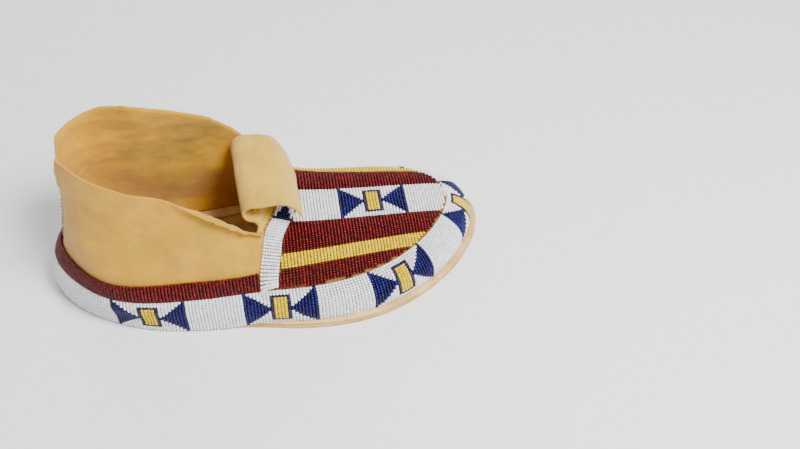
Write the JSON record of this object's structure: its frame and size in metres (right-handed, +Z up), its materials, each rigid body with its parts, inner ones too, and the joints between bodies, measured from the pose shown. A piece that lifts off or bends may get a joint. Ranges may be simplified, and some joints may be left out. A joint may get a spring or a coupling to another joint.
{
  "type": "moccasin",
  "caption": "Right-foot beaded moccasin with a hard rawhide sole, a soft leather upper, two ankle flaps, a folded tongue and lanes of glass seed beads.",
  "frame": {"origin": "on the ground, at the middle of the whole shoe's length and width", "axes": "+X from heel to toe, +Y to the medial side (the wearer's left), +Z up"},
  "size_m": [0.2673, 0.1195, 0.107],
  "materials": {
    "rawhide": "matte, fibrous edge",
    "welt_leather": "matte",
    "upper_leather": "soft matte buckskin",
    "tongue_leather": "soft matte buckskin",
    "white_beads": "opaque pearly glass",
    "blue_beads": "opaque glossy glass",
    "dark_beads": "opaque glossy glass",
    "yellow_beads": "opaque glossy glass",
    "maroon_beads": "translucent glossy glass",
    "thread": "waxed sinew"
  },
  "bodies": {
    "shoe": {"outsole": "rawhide", "welt": "welt_leather", "heel_seam_stitches": "thread", "tongue_seam_stitches": "thread", "vamp": "upper_leather", "quarter_lateral": "upper_leather", "quarter_medial": "upper_leather", "border_lane_ground": "white_beads", "border_lane_motifs": "blue_beads", "quarter_lane_lateral": "maroon_beads", "quarter_lane_medial": "maroon_beads", "throat_band": "white_beads", "vamp_lane_centre": "white_beads", "vamp_lane_centre_motif": "blue_beads", "vamp_lane_inner_lateral": "maroon_beads", "vamp_lane_inner_medial": "maroon_beads", "vamp_lane_yellow_lateral": "yellow_beads", "vamp_lane_yellow_medial": "yellow_beads", "vamp_lane_outer_lateral": "maroon_beads", "vamp_lane_outer_medial": "maroon_beads"},
    "tongue": {"tongue_base": "tongue_leather"},
    "tongue_flap": {"tongue_flap": "tongue_leather"},
    "lateral_flap": {"ankle_flap_lateral": "upper_leather"},
    "medial_flap": {"ankle_flap_medial": "upper_leather"}
  },
  "joints": [
    {"name": "tongue_lift", "type": "hinge", "parent": "shoe", "child": "tongue", "pos_m": [0.0045, 0.0045, 0.0573], "axis": [0, 1, 0], "range_deg": [-6, 5]},
    {"name": "tongue_fold", "type": "hinge", "parent": "tongue", "child": "tongue_flap", "pos_m": [-0.012, 0.0045, 0.0695], "axis": [0, -1, 0], "range_deg": [0, 110]},
    {"name": "lateral_flap_bend", "type": "hinge", "parent": "shoe", "child": "lateral_flap", "pos_m": [-0.06, -0.0415, 0.05802], "axis": [0.9942, 0, -0.1079], "range_deg": [0, 20]},
    {"name": "medial_flap_bend", "type": "hinge", "parent": "shoe", "child": "medial_flap", "pos_m": [-0.06, 0.045, 0.05802], "axis": [-0.9942, 0, 0.1079], "range_deg": [0, 20]}
  ]
}
